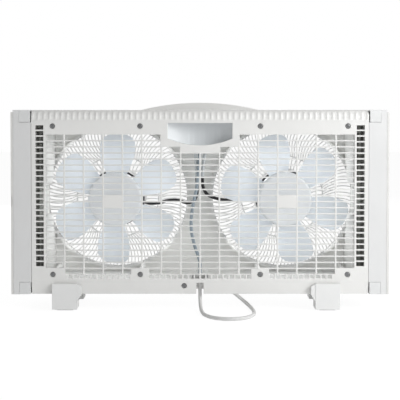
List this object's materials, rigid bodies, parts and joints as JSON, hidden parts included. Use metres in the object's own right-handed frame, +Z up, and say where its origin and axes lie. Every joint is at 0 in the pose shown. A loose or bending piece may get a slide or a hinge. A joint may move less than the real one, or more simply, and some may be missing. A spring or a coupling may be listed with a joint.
{
  "type": "twin window fan",
  "caption": "Twin window fan standing on clip-on feet, with side-by-side impellers behind a barred rear grille, pleated slide-out side extenders and a push-button panel.",
  "frame": {"origin": "on the surface that the feet stand on, under the middle of the housing", "axes": "+X along the housing's width, +Y from the rear grille to the room side, +Z up"},
  "size_m": [0.61, 0.3425, 0.336],
  "materials": {
    "casing": "satin moulded, fine spark texture",
    "grip_insert": "satin moulded",
    "front_grille": "satin moulded",
    "blade": "translucent semi-gloss moulding",
    "motor_shell": "black enamel",
    "stator_core": "laminated steel",
    "shaft_steel": "ground",
    "bush_bronze": "sintered",
    "screw_steel": "dark zinc plate",
    "end_cap": "satin moulded, fine spark texture",
    "corner_clip": "satin moulded",
    "rail": "satin extruded",
    "curtain": "thin pleated sheet",
    "foot": "satin moulded",
    "foot_pad": "matte",
    "panel": "satin",
    "display": "smoked gloss",
    "button": "satin",
    "board": "solder mask",
    "lead_black": "PVC sleeve",
    "lead_grey": "PVC sleeve",
    "cord": "PVC, satin",
    "plug_blade": "plated"
  },
  "bodies": {
    "housing": {"rear_cover": "casing", "grip_cup": "grip_insert", "front_shell": "casing", "front_grille_left": "front_grille", "front_grille_right": "front_grille", "motor_housing_left": "motor_shell", "motor_housing_right": "motor_shell", "motor_cover_left": "motor_shell", "motor_cover_right": "motor_shell", "stator_left": "stator_core", "stator_right": "stator_core", "bush_rear_left": "bush_bronze", "bush_rear_right": "bush_bronze", "bush_front_left": "bush_bronze", "bush_front_right": "bush_bronze", "motor_bolts_left": "screw_steel", "motor_bolts_right": "screw_steel", "cover_screws": "screw_steel", "control_bezel": "panel", "display_window": "display", "control_board": "board", "board_screws": "screw_steel", "motor_lead_left": "lead_black", "motor_lead_right": "lead_black", "mains_lead": "lead_grey", "strain_relief": "cord", "cord_clamp": "casing", "clamp_screws": "screw_steel", "power_cord": "cord", "cord_coil": "cord", "cord_tail": "cord", "cord_tie": "cord", "plug_body": "cord", "plug_blades": "plug_blade", "foot_left": "foot", "foot_right": "foot", "foot_pads_left": "foot_pad", "foot_pads_right": "foot_pad", "accordion_left": "curtain", "accordion_right": "curtain"},
    "fan_left": {"impeller_left": "blade", "rotor_left": "shaft_steel", "hub_nut_left": "casing"},
    "fan_right": {"impeller_right": "blade", "rotor_right": "shaft_steel", "hub_nut_right": "casing"},
    "extender_left": {"end_cap_left": "end_cap", "rail_top_left": "rail", "rail_bottom_left": "rail", "corner_clip_top_left": "corner_clip", "corner_clip_bottom_left": "corner_clip"},
    "extender_right": {"end_cap_right": "end_cap", "rail_top_right": "rail", "rail_bottom_right": "rail", "corner_clip_top_right": "corner_clip", "corner_clip_bottom_right": "corner_clip"},
    "power_button": {"button_power": "button"},
    "mode_button": {"button_mode": "button"},
    "down_button": {"button_down": "button"},
    "up_button": {"button_up": "button"}
  },
  "joints": [
    {"name": "fan_left_spin", "type": "hinge", "parent": "housing", "child": "fan_left", "pos_m": [-0.14085, 0, 0.176], "axis": [0, 1, 0], "continuous": true},
    {"name": "fan_right_spin", "type": "hinge", "parent": "housing", "child": "fan_right", "pos_m": [0.14085, 0, 0.176], "axis": [0, 1, 0], "continuous": true},
    {"name": "extender_left_slide", "type": "slide", "parent": "housing", "child": "extender_left", "axis": [-1, 0, 0], "range_m": [0, 0.165], "deforming": ["accordion_left"]},
    {"name": "extender_right_slide", "type": "slide", "parent": "housing", "child": "extender_right", "axis": [1, 0, 0], "range_m": [0, 0.165], "deforming": ["accordion_right"]},
    {"name": "power_button_press", "type": "slide", "parent": "housing", "child": "power_button", "axis": [0, -1, 0], "range_m": [0, 0.0012], "stiffness_N_per_m": 300, "springref_m": -0.0005},
    {"name": "mode_button_press", "type": "slide", "parent": "housing", "child": "mode_button", "axis": [0, -1, 0], "range_m": [0, 0.0012], "stiffness_N_per_m": 300, "springref_m": -0.0005},
    {"name": "down_button_press", "type": "slide", "parent": "housing", "child": "down_button", "axis": [0, -1, 0], "range_m": [0, 0.0012], "stiffness_N_per_m": 300, "springref_m": -0.0005},
    {"name": "up_button_press", "type": "slide", "parent": "housing", "child": "up_button", "axis": [0, -1, 0], "range_m": [0, 0.0012], "stiffness_N_per_m": 300, "springref_m": -0.0005}
  ]
}
